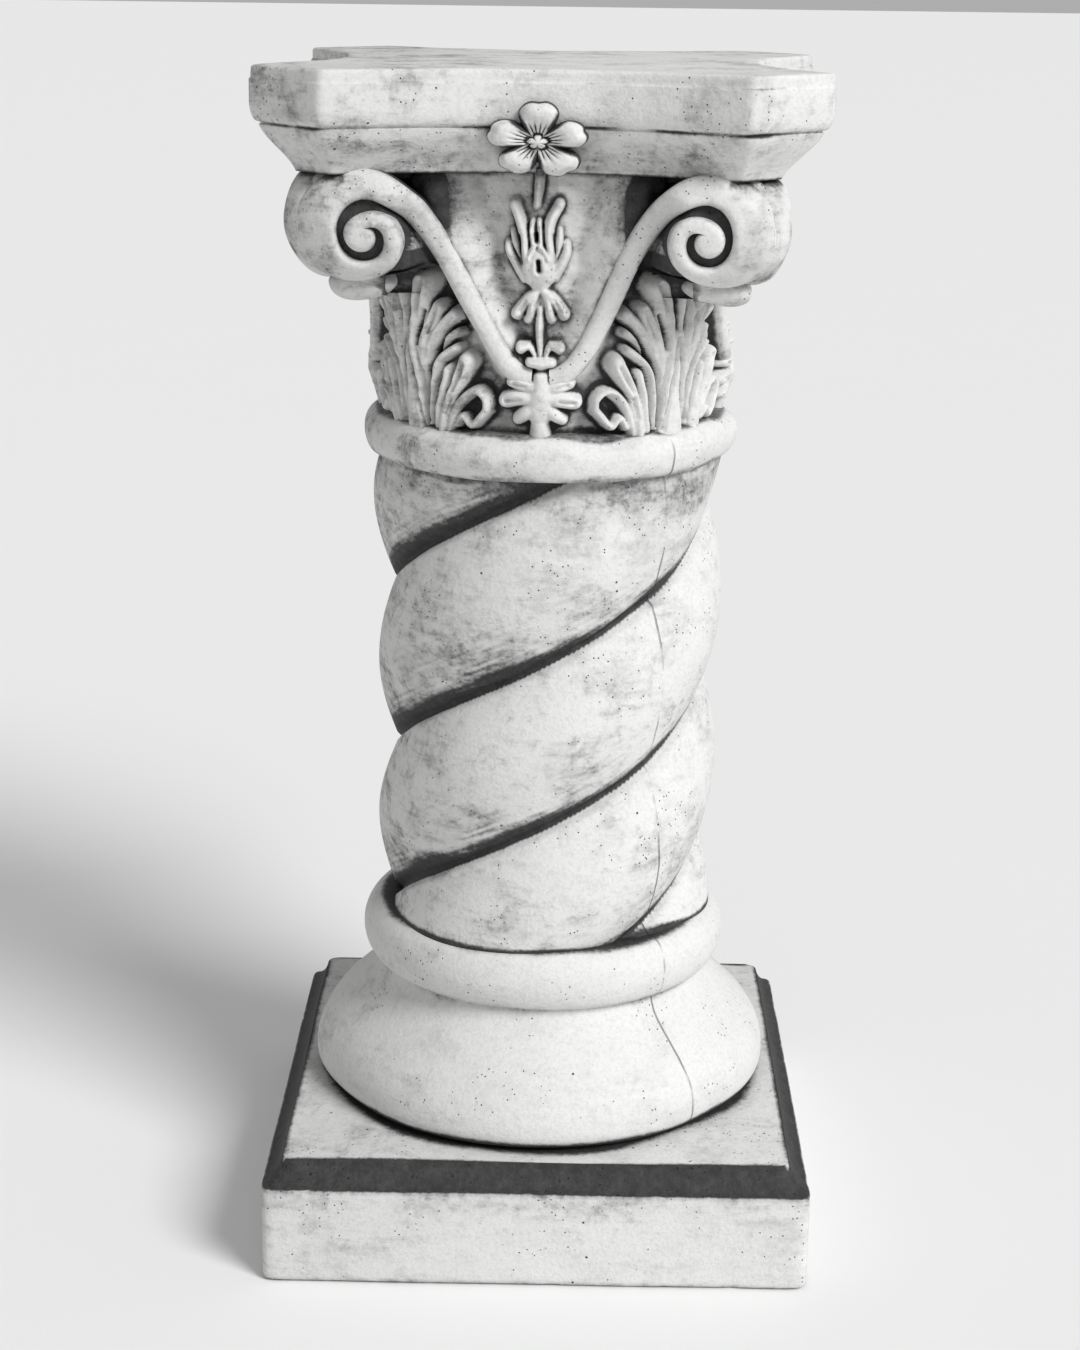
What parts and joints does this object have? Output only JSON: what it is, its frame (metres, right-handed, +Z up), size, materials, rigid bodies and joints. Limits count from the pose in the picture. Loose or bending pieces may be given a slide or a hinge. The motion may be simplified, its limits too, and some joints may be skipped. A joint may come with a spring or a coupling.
{
  "type": "decorative column",
  "caption": "Garden pedestal column cast as one: square plinth, turned base, screw-twisted shaft, leafy capital with corner scrolls and a flat moulded top.",
  "frame": {"origin": "centre of the square underside", "axes": "+Z up along the column's axis; the front of the plinth faces -Y"},
  "size_m": [0.325, 0.325, 0.701],
  "materials": {
    "cast_stone": "matt pale cast stone with dark grey patina in the recesses"
  },
  "bodies": {
    "root": {"column": "cast_stone"}
  },
  "joints": []
}
